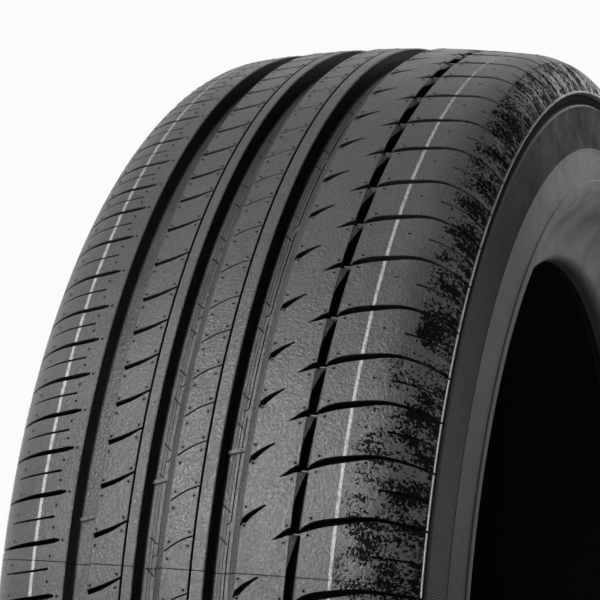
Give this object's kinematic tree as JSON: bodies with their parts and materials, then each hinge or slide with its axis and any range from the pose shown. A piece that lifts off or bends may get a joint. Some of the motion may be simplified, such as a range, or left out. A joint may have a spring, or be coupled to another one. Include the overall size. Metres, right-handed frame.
{
  "type": "car tyre",
  "caption": "Passenger car tyre with an asymmetric road tread, a rim protector on each sidewall and two round bead seats for a 16-inch rim.",
  "frame": {"origin": "centre of the tyre, on its axis, midway between its two sidewalls", "axes": "+Z along the tyre's axis, out of the sidewall that faces outwards on the car, which lies upwards; -Y towards the viewer of the picture"},
  "size_m": [0.632, 0.632, 0.207],
  "materials": {
    "rubber": "moulded black rubber, satin, with fine grain and glossy worn patches"
  },
  "bodies": {
    "root": {"tyre": "rubber"}
  },
  "joints": []
}
